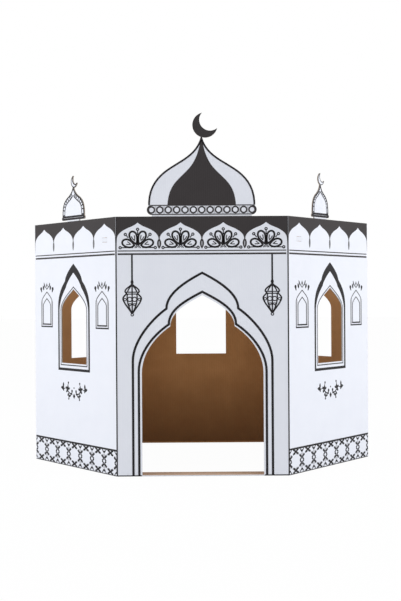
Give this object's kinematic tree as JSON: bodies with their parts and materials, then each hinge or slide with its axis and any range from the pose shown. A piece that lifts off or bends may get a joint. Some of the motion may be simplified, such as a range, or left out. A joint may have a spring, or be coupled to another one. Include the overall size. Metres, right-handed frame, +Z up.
{
  "type": "cardboard playhouse",
  "caption": "Free-standing play house of folded corrugated board, open at the top, with a cusped doorway, arched windows and flat cut-out domes with crescents.",
  "frame": {"origin": "on the floor at the middle of the ring of walls", "axes": "+Z up, -Y out through the doorway, +X to the right of a person who looks at the doorway"},
  "size_m": [1.2894, 0.9844, 1.2657],
  "materials": {
    "white_board": "white coated liner outside, kraft inside",
    "black_ink": "matt black print"
  },
  "bodies": {
    "root": {"front_wall": "white_board", "back_wall": "white_board", "main_dome": "white_board", "left_dome": "white_board", "right_dome": "white_board"}
  },
  "joints": []
}
